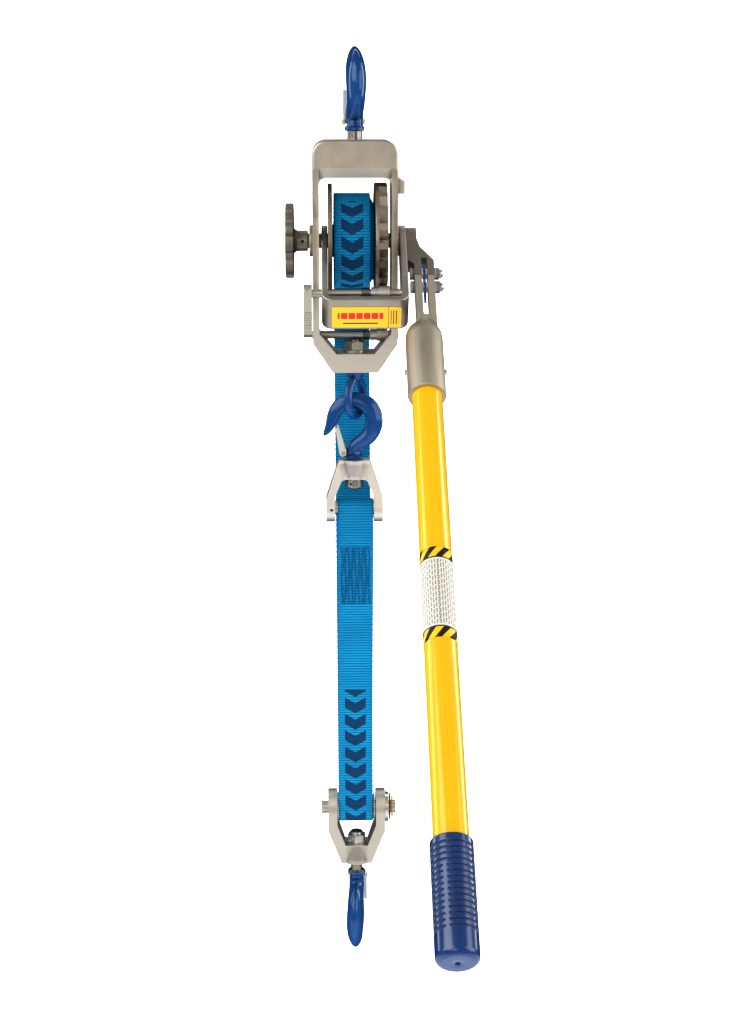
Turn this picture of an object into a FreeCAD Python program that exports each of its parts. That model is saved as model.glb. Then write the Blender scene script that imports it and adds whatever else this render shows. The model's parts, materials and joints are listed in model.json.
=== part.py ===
import FreeCAD, Part
import math
import os

# Web-strap ratchet hoist (a come-along winch): one STEP file per piece, in millimetres.
# Everything is built about the drum axis (X to the right, Y away from the operator, Z up) and
# moved once, on saving, so that the origin is the centre of the upper hook's bowl.
# The handle and its pieces are built hanging straight down and then swung up to the rest pose.

# ---------------------------------------------------------------- driving dimensions
BOWL_ABOVE_DRUM = 190.7      # upper hook's bowl centre above the drum axis
RUN_GAP = 0.06               # radial clearance of a running fit
SEAT_GAP = 0.02              # clearance between pieces that are fixed together

# frame: a forged loop seen from the front as a tall ring
FRAME_HALF_WIDTH = 52.0
PLATE_INNER = 44.0           # inner faces of the two side plates, from the middle
PLATE_HALF_DEPTH = 27.0
HEAD_HALF_DEPTH = 35.0
FRAME_TOP = 122.0
HEAD_BOTTOM = 89.0
WEB_BOTTOM = 77.0
PLATE_SLOPE_START = 30.0     # where the side plates start to deepen towards the head
FRAME_SHOULDER = -124.3      # where the outer sides start to draw in
FRAME_BOTTOM = -160.0
FOOT_TOP = -137.0
FOOT_HALF_WIDTH = 27.8
BOSS_RADIUS = 19.0

# drum, drum shaft and handwheel, along X
SHAFT_RADIUS = 9.0
SHAFT_ENDS = (-84.0, 75.0)
ROLL_RADIUS = 58.0
ROLL_X = (-26.2, 18.2)
CORE_RADIUS = 20.0
FLANGE_X = (-33.2, -28.0)
FLANGE_RADIUS = 69.5
LIP_X = (23.7, 28.2)
TOOTH_X = (28.2, 39.1)
TOOTH_COUNT = 19
TIP_RADIUS = 70.5
ROOT_RADIUS = 62.0
WHEEL_X = (-85.2, -74.8)
WHEEL_RADIUS = 45.5
WHEEL_HUB_END = -57.6
WHEEL_HUB_RADIUS = 12.6
WHEEL_LOBES = 8

# handle yoke and handle, at distances below the drum axis along the handle
HANDLE_TILT = 52.25          # degrees that the handle stands up from straight down at rest
YOKE_LEFT = (-41.2, -33.9)
YOKE_RIGHT = (54.2, 62.2)
YOKE_BAR = (123.2, 130.8)
YOKE_HALF_WIDTH = 24.0
YOKE_END_RADIUS = 18.5
LEVER_X = (62.6, 75.0)
FORK_X = (70.7, 94.6)
FORK_HALF_DEPTH = 9.3
FORK_END = 70.4
SLOT_X = (79.2, 86.2)
SLOT_END = 139.0
BOLT_DROPS = (60.0, 83.2)
BOLT_RADIUS = 4.0
HANDLE_X = 78.5
SOCKET_RADIUS = 22.0
SOCKET_MOUTH = 265.0
SOCKET_SHOULDER = 172.0
TUBE_RADIUS = 17.45
TUBE_BORE = 13.5
TUBE_DROPS = (186.0, 966.0)
LABEL_DROPS = (499.5, 617.8)
GRIP_DROPS = (848.0, 974.0)
GRIP_RADIUS = 21.0
GROOVE_COUNT = 15
GROOVE_PITCH = 6.25

# pawls
PAWL_X = (28.7, 38.6)
PAWL_SHAFT_RADIUS = 5.0
DRIVE_PAWL_DROP = 93.7       # drive pawl's pivot, along the handle
HOLD_PAWL_DROP = 115.8       # holding pawl's pivot, straight below the drum axis
DRIVE_FACE_ANGLE = 36.0      # tooth face that the drive pawl pushes, measured back from the handle
HOLD_FACE_STEPS = 3          # whole teeth between the two pawls' tooth faces
DRIVE_HUB_RADIUS = 9.0
HOLD_HUB_RADIUS = 8.0
THUMB_X = (-63.0, -52.9)
THUMB_LEAN = 22.0            # thumb lever's angle back from the handle
THUMB_RIBS = 7

# strap
STRAP_WIDTH = 44.45
STRAP_THICKNESS = 2.6
PULLEY_AXIS = -734.8
PULLEY_RADIUS = 15.8
LAP_END = -462.0
LAP_START = -385.0

# strap-end hook, its yoke and the anchor eye
STRAP_END_X = -1.3
STRAP_BOWL = -223.4
STRAP_PIN_AXIS = -335.0
STRAP_PIN_RADIUS = 9.0
EYE_CENTRE = -194.0
EYE_RADIUS = 23.5
EYE_BAR = 5.3
EYE_TURN = 66.0

# hooks: for each, a scale in the hook's plane and one across it, on the strap-end hook's shape
UPPER_SCALE = (1.18, 1.18)
STRAP_SCALE = (1.0, 1.0)
LOAD_SCALE = (1.22, 1.07)
HOOK_BOWL_RADIUS = 15.1      # saddle radius at scale 1
LOAD_BOWL = -884.0
UPPER_HOOK_TURN = 4.0
LOAD_HOOK_TURN = -6.0

# load block
BLOCK_X = 0.5
BLOCK_HALF_WIDTH = 36.9
BLOCK_INNER = 25.0
BLOCK_PIN_RADIUS = 8.0


# ---------------------------------------------------------------- helpers
def vec(x, y, z):
    return FreeCAD.Vector(x, y, z)


X_DIR, Y_DIR, Z_DIR = vec(1, 0, 0), vec(0, 1, 0), vec(0, 0, 1)
pieces = {}


def keep(name, *solids):
    """Store one node: a single solid, or a group of identical separate solids."""
    pieces[name] = list(solids)


def block(x, y, z):
    """A box from three (low, high) pairs."""
    return Part.makeBox(x[1] - x[0], y[1] - y[0], z[1] - z[0], vec(x[0], y[0], z[0]))


def rod_x(radius, x, y=0.0, z=0.0):
    return Part.makeCylinder(radius, x[1] - x[0], vec(x[0], y, z), X_DIR)


def rod_y(radius, y, x=0.0, z=0.0):
    return Part.makeCylinder(radius, y[1] - y[0], vec(x, y[0], z), Y_DIR)


def rod_z(radius, z, x=0.0, y=0.0):
    return Part.makeCylinder(radius, z[1] - z[0], vec(x, y, z[0]), Z_DIR)


def ring_x(outer, inner, x, y=0.0, z=0.0):
    return rod_x(outer, x, y, z).cut(rod_x(inner, (x[0] - 1, x[1] + 1), y, z))


def prism(points, direction):
    return Part.Face(Part.makePolygon(points + points[:1])).extrude(direction)


def prism_y(outline, y):
    """A prism along Y from an outline of (x, z) points."""
    return prism([vec(px, y[0], pz) for px, pz in outline], vec(0, y[1] - y[0], 0))


def prism_x(outline, x):
    """A prism along X from an outline of (y, z) points."""
    return prism([vec(x[0], py, pz) for py, pz in outline], vec(x[1] - x[0], 0, 0))


def prism_z(outline, z):
    """A prism along Z from an outline of (x, y) points."""
    return prism([vec(px, py, z[0]) for px, py in outline], vec(0, 0, z[1] - z[0]))


def turned_z(profile, x=0.0, y=0.0):
    """A body turned about a vertical line, from a closed profile of (radius, height)."""
    points = [vec(x + r, y, h) for r, h in profile]
    return Part.Face(Part.makePolygon(points + points[:1])).revolve(vec(x, y, 0), Z_DIR, 360)


def turned_x(profile, y=0.0, z=0.0):
    """A body turned about a line along X, from a closed profile of (x, radius)."""
    points = [vec(px, y, z + r) for px, r in profile]
    return Part.Face(Part.makePolygon(points + points[:1])).revolve(vec(0, y, z), X_DIR, 360)


def hexagon(flats, low, high):
    """A hexagonal prism along Z, by its width across flats."""
    corner = flats / math.sqrt(3)
    angles = [math.radians(60 * n) for n in range(6)]
    return prism_z([(corner * math.cos(a), corner * math.sin(a)) for a in angles], (low, high))


def moved(shape, x=0.0, y=0.0, z=0.0):
    shape = shape.copy()
    shape.translate(vec(x, y, z))
    return shape


def rotated(shape, degrees, axis=Z_DIR, centre=None):
    shape = shape.copy()
    shape.rotate(centre or vec(0, 0, 0), axis, degrees)
    return shape


def lies_along(edge, direction):
    """True for a straight edge in the given direction."""
    if edge.Curve.TypeId != "Part::GeomLine":
        return False
    return abs(edge.tangentAt(edge.FirstParameter).dot(direction)) > 0.999


def rounded(shape, radius, wanted):
    """Fillet the edges for which wanted(edge) is true."""
    edges = [edge for edge in shape.Edges if wanted(edge)]
    return shape.makeFillet(radius, edges)


def corners_along(shape, direction, radius, wanted=lambda middle: True):
    """Round the straight edges in one direction whose middle point is wanted."""
    return rounded(shape, radius, lambda e: lies_along(e, direction) and wanted(e.CenterOfMass))


def coil(radius, wire, x, y, z, turns):
    """A torsion spring's coil about a line along X."""
    pitch = (x[1] - x[0] - 2 * wire) / turns
    path = Part.makeHelix(pitch, pitch * turns, radius)
    section = Part.Wire(Part.Circle(vec(radius, 0, 0), Y_DIR, wire).toShape())
    spring = Part.Wire(path).makePipeShell([section], True, True)
    return moved(rotated(spring, 90, Y_DIR), x[0] + wire, y, z)


# ---------------------------------------------------------------- hooks
# Centre line of a hook at scale 1, in its own plane: out towards the back of the hook, up
# towards the crown, direction of travel, half thickness in the plane, half thickness across.
HOOK_STATIONS = (
    (0.0, -42.0, 90, 8.6, 8.3),
    (-1.0, -35.2, 68, 8.4, 8.6),
    (9.6, -27.0, 48, 9.6, 8.9),
    (21.8, -14.0, 66, 10.6, 9.3),
    (24.9, 0.0, 90, 10.9, 9.8),
    (21.8, 12.6, 120, 10.9, 9.4),
    (12.6, 21.8, 150, 10.8, 8.2),
    (0.0, 25.1, 180, 10.6, 7.0),
    (-13.0, 21.6, 212, 9.8, 7.1),
    (-22.6, 12.8, 240, 8.7, 7.2),
    (-27.4, 1.0, 262, 7.6, 6.6),
    (-31.5, -9.0, 246, 5.4, 5.6),
    (-36.4, -16.8, 236, 2.9, 3.6),
    (-38.0, -19.2, 234, 1.3, 1.6),
)


def hook_section(station, scale, width):
    """One closed egg across a hook's centre line, its narrow end outwards.

    The plane of the hook is YZ, its back at -Y.
    """
    out, up, heading, half, across = station
    normal = math.radians(heading - 90)
    points = []
    for n in range(16):
        turn = 2 * math.pi * n / 16
        reach = half * math.cos(turn)
        u = out + reach * math.cos(normal)
        v = up + reach * math.sin(normal)
        side = across * math.sin(turn) * (1 - EGG_TAPER * math.cos(turn))
        points.append(vec(side * width, -u * scale, v * scale))
    oval = Part.BSplineCurve()
    oval.interpolate(Points=points, PeriodicFlag=True)
    return Part.Wire(oval.toShape())


EGG_TAPER = 0.22             # how much narrower than the inside a section's outside is
LUG_OUT = -13.6              # latch pin's place, at scale 1
LUG_UP = -40.0
LUG_RADIUS = 3.6
LUG_HALF_WIDTH = 5.0
LATCH_PIN_RADIUS = 1.8
LATCH_CHEEK = 9.35           # inner face of a latch cheek, from the hook's plane
LATCH_SHEET = 1.4
LATCH_LENGTH = 33.0
LATCH_LEAN = 8.0             # latch's lean from the shank's direction, away from the shank


def hook_blank(scales, shank_radius, shank_low, collar_low, saddle):
    """A forged hook, bowl centre at the origin, shank along -Z, with or without a machined saddle."""
    scale, width = scales
    sections = [hook_section(station, scale, width) for station in HOOK_STATIONS]
    body = Part.makeLoft(sections, True, False)
    neck_up = HOOK_STATIONS[0][1] * scale
    neck = HOOK_STATIONS[0][4] * width
    collar = neck + 2.4
    profile = [(0, neck_up + 3), (neck - 1.2, neck_up + 3), (neck - 0.4, collar_low + 7.0)]
    profile += [(collar, collar_low + 4.2), (collar, collar_low + 1.2), (collar - 1.2, collar_low)]
    profile += [(shank_radius, collar_low), (shank_radius, shank_low + 1), (shank_radius - 1, shank_low)]
    stem = turned_z(profile + [(0, shank_low)])
    lug_y, lug_z = -LUG_OUT * scale, LUG_UP * scale
    half = LUG_HALF_WIDTH * width
    lug = rod_x(LUG_RADIUS * scale, (-half, half), lug_y, lug_z)
    web = block((-half, half), (0, lug_y), (lug_z - LUG_RADIUS * scale, lug_z + LUG_RADIUS * scale))
    hook = body.fuse([stem, lug, web])
    if saddle:
        hook = hook.cut(rod_x(HOOK_BOWL_RADIUS * scale, (-30, 30)))
    hook = hook.cut(rod_x(LATCH_PIN_RADIUS + SEAT_GAP, (-30, 30), lug_y, lug_z))
    return hook.removeSplitter()


def latch_blank(scales):
    """A sheet-metal safety latch: a channel whose cheeks straddle the hook's neck."""
    scale, width = scales
    inner = LATCH_CHEEK * width
    outer = inner + LATCH_SHEET
    length = LATCH_LENGTH * scale
    web = LUG_RADIUS * scale + 0.5
    back = -web - LATCH_SHEET
    side = [(back, -1.0), (-2.6, -4.4), (2.8, -3.4), (3.6, 2.0)]
    side += [(0.5, length * 0.6), (-1.5, length), (back, length)]
    shell = prism_x(side, (-outer, outer))
    hollow = block((-inner, inner), (-web, 10), (-10, length + 5))
    latch = shell.cut(hollow)
    latch = latch.cut(rod_x(LATCH_PIN_RADIUS + RUN_GAP, (-30, 30)))
    back_to_front = rotated(latch, 180)
    leaned = rotated(back_to_front, -LATCH_LEAN, X_DIR)
    return moved(leaned, 0, -LUG_OUT * scale, LUG_UP * scale)


def latch_pin_blank(scales):
    """The latch's rivet, with a head outside each cheek."""
    scale, width = scales
    reach = LATCH_CHEEK * width + LATCH_SHEET + 0.15
    y, z = -LUG_OUT * scale, LUG_UP * scale
    pin = rod_x(LATCH_PIN_RADIUS, (-reach, reach), y, z)
    heads = [rod_x(LATCH_PIN_RADIUS + 1.1, (reach, reach + 1.3), y, z)]
    heads.append(rod_x(LATCH_PIN_RADIUS + 1.1, (-reach - 1.3, -reach), y, z))
    return pin.fuse(heads).removeSplitter()


def latch_spring_blank(scales):
    scale, width = scales
    y, z = -LUG_OUT * scale, LUG_UP * scale
    room = (LUG_HALF_WIDTH * width + 0.3, LATCH_CHEEK * width - 0.3)
    return coil(LATCH_PIN_RADIUS + 0.75, 0.45, room, y, z, 3)


def place_hook_set(prefix, scales, shank_radius, shank_low, collar_low, place, saddle=True):
    """Hook, latch, latch pin and latch spring, each put where place(shape) says."""
    keep(prefix + "_hook", place(hook_blank(scales, shank_radius, shank_low, collar_low, saddle)))
    keep(prefix + "_latch", place(latch_blank(scales)))
    keep(prefix + "_latch_pin", place(latch_pin_blank(scales)))
    keep(prefix + "_latch_spring", place(latch_spring_blank(scales)))


# ---------------------------------------------------------------- frame
SWIVEL_RADIUS = 9.0
SWIVEL_END = 92.0
SWIVEL_GROOVE = (102.0, 107.0)
EYE_SHANK_RADIUS = 7.0


def frame_outline():
    """The frame's outer and inner outlines, as (x, z) points."""
    w, i = FRAME_HALF_WIDTH, PLATE_INNER
    outer = [(-w, FRAME_TOP), (w, FRAME_TOP), (w, FRAME_SHOULDER), (FOOT_HALF_WIDTH, FRAME_BOTTOM)]
    outer += [(-FOOT_HALF_WIDTH, FRAME_BOTTOM), (-w, FRAME_SHOULDER)]
    inner = [(-i, WEB_BOTTOM), (i, WEB_BOTTOM), (i, -112.0), (23.5, FOOT_TOP)]
    inner += [(-23.5, FOOT_TOP), (-i, -112.0)]
    return outer, inner


def frame_loop():
    outer, inner = frame_outline()
    deep = (-HEAD_HALF_DEPTH, HEAD_HALF_DEPTH)
    loop = prism_y(outer, deep)
    loop = corners_along(loop, Y_DIR, 17.0, lambda p: p.z > 100)
    loop = corners_along(loop, Y_DIR, 2.0, lambda p: p.z < -100)
    opening = corners_along(prism_y(inner, deep), Y_DIR, 9.0, lambda p: p.z > 50)
    loop = loop.cut(opening)
    d, h = PLATE_HALF_DEPTH, HEAD_HALF_DEPTH
    front = [(-d, FRAME_BOTTOM - 1), (-d, PLATE_SLOPE_START), (-h, HEAD_BOTTOM), (-h, FRAME_TOP + 1)]
    side = front + [(-y, z) for y, z in reversed(front)]
    loop = loop.common(prism_x(side, (-60, 60)))
    for face in (-1, 1):
        wedge = [(face * (h + 1), HEAD_BOTTOM), (face * h, HEAD_BOTTOM)]
        wedge += [(face * d, WEB_BOTTOM), (face * d, 60), (face * (h + 1), 60)]
        loop = loop.cut(prism_x(wedge, (-PLATE_INNER, PLATE_INNER)))
    return loop


def build_frame():
    frame = frame_loop()
    frame = corners_along(frame, X_DIR, 3.0, lambda p: p.z > FRAME_TOP - 1)
    left_boss = rod_x(BOSS_RADIUS, (-56.0, -PLATE_INNER))
    right_boss = rod_x(BOSS_RADIUS, (PLATE_INNER, 53.8))
    lug = prism_y([(50, 76.3), (54, 76.3), (61, 72), (61, 57), (50, 57)], (-9, 9))
    frame = frame.fuse([left_boss, right_boss, lug])
    frame = frame.cut(rod_x(SHAFT_RADIUS + RUN_GAP, (-60, 60)))
    pawl_pocket = rod_x(HOLD_HUB_RADIUS + 0.8, (PAWL_X[0] - 2.1, PAWL_X[1] + 2.1), 0, -HOLD_PAWL_DROP)
    frame = frame.cut(pawl_pocket)
    frame = frame.cut(rod_x(PAWL_SHAFT_RADIUS + SEAT_GAP, (-60, 60), 0, -HOLD_PAWL_DROP))
    frame = frame.cut(rod_z(SWIVEL_RADIUS + RUN_GAP, (SWIVEL_END - 0.5, FRAME_TOP + 1)))
    frame = frame.cut(rod_z(EYE_SHANK_RADIUS + RUN_GAP, (FRAME_BOTTOM - 1, FOOT_TOP + 1)))
    for side in (-1, 1):
        x = side * (SWIVEL_RADIUS + 0.6)
        frame = frame.cut(rod_y(2.0, (-22, HEAD_HALF_DEPTH + 1), x, sum(SWIVEL_GROOVE) / 2))
    keep("frame", frame.removeSplitter())


def build_swivel_pins():
    """The two cross pins, driven in from behind, that hold the swivelling hook's shank."""
    pins = []
    for side in (-1, 1):
        x = side * (SWIVEL_RADIUS + 0.6)
        pins.append(rod_y(2.0 - SEAT_GAP, (-21.5, HEAD_HALF_DEPTH - 0.5), x, sum(SWIVEL_GROOVE) / 2))
    keep("swivel_pins", *pins)


def build_upper_hook():
    """The anchoring hook: its grooved shank turns in the frame's head on two cross pins."""
    collar_low = 132.3 - BOWL_ABOVE_DRUM
    shank_low = SWIVEL_END - BOWL_ABOVE_DRUM

    def place(shape):
        return moved(rotated(shape, UPPER_HOOK_TURN), 0, 0, BOWL_ABOVE_DRUM)

    place_hook_set("upper", UPPER_SCALE, SWIVEL_RADIUS, shank_low, collar_low, place)
    low, high = SWIVEL_GROOVE
    groove = rod_z(SWIVEL_RADIUS + 1, (low - 0.3, high + 0.3))
    groove = groove.cut(rod_z(SWIVEL_RADIUS - 1.7, (low - 1, high + 1)))
    keep("upper_hook", pieces["upper_hook"][0].cut(groove))


# ---------------------------------------------------------------- drum
PITCH_ANGLE = 360.0 / TOOTH_COUNT


def polar(radius, angle):
    """(y, z) of a point at an angle in degrees from straight down, growing towards the front."""
    a = math.radians(angle)
    return -radius * math.sin(a), -radius * math.cos(a)


def ratchet_outline():
    """Saw teeth: a radial face, a gullet, a long back and a land, repeated round the wheel."""
    outline = []
    first = HANDLE_TILT - DRIVE_FACE_ANGLE
    for n in range(TOOTH_COUNT):
        face = first + n * PITCH_ANGLE
        outline.append(polar(TIP_RADIUS, face))
        outline.append(polar(ROOT_RADIUS, face))
        outline.append(polar(ROOT_RADIUS, face + 0.12 * PITCH_ANGLE))
        outline.append(polar(TIP_RADIUS, face + 0.66 * PITCH_ANGLE))
    return outline


def build_drum():
    keep("drum_shaft", rod_x(SHAFT_RADIUS, SHAFT_ENDS))
    bore = rod_x(SHAFT_RADIUS + SEAT_GAP, (-90, 90))
    flange = rod_x(FLANGE_RADIUS, FLANGE_X)
    flange = rounded(flange, 0.8, lambda e: e.Curve.TypeId == "Part::GeomCircle")
    core = rod_x(CORE_RADIUS, (FLANGE_X[0] + 1, LIP_X[0] - SEAT_GAP))
    anchor_slot = block((ROLL_X[0], ROLL_X[1]), (-1.6, 1.6), (SHAFT_RADIUS + 2, CORE_RADIUS + 1))
    keep("drum_spool", flange.fuse(core).cut(bore).cut(anchor_slot).removeSplitter())
    lip = rod_x(TIP_RADIUS, LIP_X)
    lip = rounded(lip, 1.0, lambda e: e.Curve.TypeId == "Part::GeomCircle" and e.CenterOfMass.x < 25)
    wheel = prism_x(ratchet_outline(), TOOTH_X).fuse(lip).cut(bore)
    keep("ratchet_wheel", wheel.removeSplitter())
    inner_x = (ROLL_X[0] + 1.4, ROLL_X[1] + 4.6)
    low = CORE_RADIUS + 0.3
    roll = ring_x(ROLL_RADIUS, 48.0, ROLL_X).fuse(ring_x(48.0, low, inner_x))
    keep("wound_strap", roll.removeSplitter())


def build_handwheel():
    low, high = WHEEL_X
    disc = rod_x(WHEEL_RADIUS, WHEEL_X)
    scallops = []
    for n in range(WHEEL_LOBES):
        y, z = polar(WHEEL_RADIUS + 8.0, (n + 0.5) * 360.0 / WHEEL_LOBES)
        scallops.append(rod_x(13.0, (low - 1, high + 1), y, z))
    disc = disc.cut(scallops)
    disc = corners_along(disc, X_DIR, 3.0)
    disc = rounded(disc, 1.8, lambda e: min(abs(e.CenterOfMass.x - face) for face in WHEEL_X) < 0.01)
    r = WHEEL_HUB_RADIUS
    profile = [(high - 1, 0), (high - 1, r + 4), (high, r + 4), (high + 1.4, r + 1.6), (high + 4, r)]
    profile += [(WHEEL_HUB_END - 0.8, r), (WHEEL_HUB_END, r - 0.8), (WHEEL_HUB_END, 0)]
    wheel = disc.fuse(turned_x(profile)).cut(rod_x(SHAFT_RADIUS + SEAT_GAP, (SHAFT_ENDS[0], 0)))
    pin_hole = rod_y(2.0, (-20, 20), -64.5)
    keep("handwheel", wheel.cut(pin_hole).removeSplitter())
    keep("handwheel_pin", rod_y(2.0 - SEAT_GAP, (-11.8, 11.8), -64.5))
    shaft = pieces["drum_shaft"][0].cut(pin_hole)
    keep("drum_shaft", shaft)


# ---------------------------------------------------------------- handle
def swing(shape):
    """From hanging straight down to the rest pose."""
    return rotated(shape, -HANDLE_TILT, X_DIR)


def across_y(outline):
    """Handle outlines are written as (x, distance below the drum axis)."""
    return [(x, -drop) for x, drop in outline]


def yoke_side():
    """The yoke from the side: round ends at the shaft, widening to the bar."""
    right = [(YOKE_END_RADIUS, 0), (YOKE_END_RADIUS, -6), (YOKE_HALF_WIDTH, -88), (YOKE_HALF_WIDTH, -140)]
    arms = prism_x(mirrored(right), (-70, 70))
    return arms.fuse(rod_x(YOKE_END_RADIUS, (-70, 70)))


def build_yoke():
    w = (-YOKE_HALF_WIDTH, YOKE_HALF_WIDTH)
    outer = block((YOKE_LEFT[0], YOKE_RIGHT[1]), w, (-YOKE_BAR[1], YOKE_END_RADIUS))
    outer = corners_along(outer, Y_DIR, 12.0, lambda p: p.z < 0)
    inner = block((YOKE_LEFT[1], YOKE_RIGHT[0]), w, (-YOKE_BAR[0], YOKE_END_RADIUS + 1))
    inner = corners_along(inner, Y_DIR, 5.0, lambda p: p.z < 0)
    yoke = outer.cut(inner).common(yoke_side())
    yoke = yoke.cut(rod_x(SHAFT_RADIUS + RUN_GAP, (-60, 80)))
    yoke = yoke.cut(rod_x(PAWL_SHAFT_RADIUS + RUN_GAP, (-60, 80), 0, -DRIVE_PAWL_DROP))
    yoke = corners_along(yoke, X_DIR, 1.5, lambda p: p.z < -120)
    keep("handle_yoke", swing(yoke.removeSplitter()))
    label = block((-29.2, 53.0), (-12.9, 20.3), (-YOKE_BAR[1] - 0.5, -YOKE_BAR[1] - SEAT_GAP))
    keep("yoke_label", swing(label))


def build_lever_casting():
    """Cast arm outside the yoke: a flat plate at the shaft that steps out to a slotted fork."""
    outline = [(LEVER_X[0], -16), (LEVER_X[1], -16), (LEVER_X[1], 14), (78.5, 26), (FORK_X[1] + 0.3, 46)]
    outline += [(FORK_X[1] + 0.3, FORK_END), (FORK_X[0], FORK_END), (FORK_X[0], 51), (LEVER_X[0], 45)]
    depth = 15.5
    casting = prism_y(across_y(outline), (-depth, depth))
    side = [(-FORK_HALF_DEPTH, -FORK_END), (-FORK_HALF_DEPTH, -50), (-depth, -16), (-depth, 0)]
    side_prism = prism_x(side + [(-y, z) for y, z in reversed(side)], (50, 100))
    casting = casting.common(side_prism.fuse(rod_x(depth, (50, 100))))
    casting = casting.cut(rod_x(SHAFT_RADIUS + RUN_GAP, (50, 100)))
    casting = casting.cut(block(SLOT_X, (-20, 20), (-FORK_END - 1, -42.5)))
    casting = casting.cut(rod_x(BOLT_RADIUS + SEAT_GAP, (50, 110), 0, -BOLT_DROPS[0]))
    slope = vec(19.7, 0, 16.4).normalize()
    screw_hole = Part.makeCylinder(2.5, 9, vec(86.6, 0, -36.5) - slope * 6, slope)
    keep("lever_casting", swing(casting.cut(screw_hole).removeSplitter()))
    stem = Part.makeCylinder(2.48, 9.5, vec(86.6, 0, -36.5) - slope * 5.8, slope)
    head = Part.makeCylinder(3.6, 3.0, vec(86.6, 0, -36.5) + slope * 1.2, slope)
    keep("stop_screw", swing(stem.fuse(head).removeSplitter()))


def build_link():
    """The plate that joins casting and socket across the slot, with its bolts."""
    x = (81.6, 84.0)
    low, high = 49.5, 107.0
    plate = block(x, (-7.5, 7.5), (-high, -low))
    plate = corners_along(plate, X_DIR, 6.0)
    for drop in BOLT_DROPS:
        plate = plate.cut(rod_x(BOLT_RADIUS + SEAT_GAP, (70, 100), 0, -drop))
    keep("link_plate", swing(plate))
    spacers, bolts, nuts = [], [], []
    for drop in BOLT_DROPS:
        for room in ((SLOT_X[0], x[0]), (x[1], SLOT_X[1])):
            fitted = (room[0] + SEAT_GAP, room[1] - SEAT_GAP)
            spacers.append(swing(ring_x(6.6, BOLT_RADIUS + SEAT_GAP, fitted, 0, -drop)))
        shank = rod_x(BOLT_RADIUS, (FORK_X[0] - 1, 101.0), 0, -drop)
        head = moved(along_x_hexagon(13.0, FORK_X[0] - 5.3, FORK_X[0] - SEAT_GAP), 0, 0, -drop)
        bolts.append(swing(shank.fuse(head).removeSplitter()))
        low_x = FORK_X[1] + 0.3 + SEAT_GAP
        cap = Part.makeSphere(5.6, vec(low_x + 6.0, 0, -drop), X_DIR, 0, 90, 360)
        body = moved(along_x_hexagon(13.0, low_x, low_x + 6.0), 0, 0, -drop)
        nut = body.fuse(cap).cut(rod_x(BOLT_RADIUS + SEAT_GAP, (90, 101.2), 0, -drop))
        nuts.append(swing(nut.removeSplitter()))
    keep("link_spacers", *spacers)
    keep("link_bolts", *bolts)
    keep("link_nuts", *nuts)


def along_x_hexagon(flats, low, high):
    """A hexagonal prism along X."""
    return rotated(hexagon(flats, low, high), 90, Y_DIR)


def build_socket():
    neck = block(FORK_X, (-FORK_HALF_DEPTH, FORK_HALF_DEPTH), (-SOCKET_SHOULDER, -FORK_END - 1.0))
    r, top = SOCKET_RADIUS, -SOCKET_SHOULDER
    profile = [(0, -SOCKET_MOUTH), (r - 1.0, -SOCKET_MOUTH), (r, -SOCKET_MOUTH + 1.0), (r, top)]
    profile += [(r - 0.8, top + 6), (r - 3.0, top + 12), (r - 7.0, top + 17.5)]
    profile += [(r - 12.0, top + 20), (0, top + 20)]
    socket = neck.fuse(turned_z(profile, HANDLE_X))
    socket = socket.cut(rod_z(TUBE_RADIUS + SEAT_GAP, (-SOCKET_MOUTH - 1, -TUBE_DROPS[0] + 0.3), HANDLE_X))
    slot = block(SLOT_X, (-30, 30), (-SLOT_END, -FORK_END))
    socket = socket.cut(corners_along(slot, Y_DIR, 3.0, lambda p: p.z < -100))
    socket = socket.cut(rod_x(BOLT_RADIUS + SEAT_GAP, (60, 110), 0, -BOLT_DROPS[1]))
    pin_hole = rod_x(3.0, (50, 110), 0, -226.0)
    keep("handle_socket", swing(socket.cut(pin_hole).removeSplitter()))
    keep("socket_pin", swing(rod_x(3.0 - SEAT_GAP, (HANDLE_X - 24.4, HANDLE_X + 24.4), 0, -226.0)))
    tube = rod_z(TUBE_RADIUS, (-TUBE_DROPS[1], -TUBE_DROPS[0]), HANDLE_X)
    tube = tube.cut(rod_z(TUBE_BORE, (-TUBE_DROPS[1] - 1, -TUBE_DROPS[0] + 1), HANDLE_X)).cut(pin_hole)
    keep("handle_tube", swing(tube))


def build_grip_and_label():
    low, high = -LABEL_DROPS[1], -LABEL_DROPS[0]
    sleeve = rod_z(TUBE_RADIUS + 0.3, (low, high), HANDLE_X)
    keep("tube_label", swing(sleeve.cut(rod_z(TUBE_RADIUS + SEAT_GAP, (low - 1, high + 1), HANDLE_X))))
    r, end, start = GRIP_RADIUS, -GRIP_DROPS[1], -GRIP_DROPS[0]
    profile = [(0, end + 0.6), (r - 6, end), (r - 2, end + 1.6), (r, end + 5.5)]
    first = start - 9.2
    for n in reversed(range(GROOVE_COUNT)):
        z = first - n * GROOVE_PITCH
        profile += [(r, z - 1.2), (r - 1.1, z - 0.8), (r - 1.1, z + 0.8), (r, z + 1.2)]
    profile += [(r, start - 1), (r - 1, start), (0, start)]
    grip = turned_z(profile, HANDLE_X)
    grip = grip.cut(rod_z(TUBE_RADIUS + SEAT_GAP, (-TUBE_DROPS[1] - 0.5, start + 1), HANDLE_X))
    keep("grip", swing(grip.cut(rod_z(2.5, (end - 1, end + 10), HANDLE_X))))


# ---------------------------------------------------------------- pawls
DRIVE_REST_TURN = 12.0       # how far each pawl stands off its mesh at rest
HOLD_REST_TURN = 9.5
DRIVE_LEAD = 1.6             # gap between a pawl in mesh and its tooth face, in degrees of the wheel
HOLD_LEAD = 2.8


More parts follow.
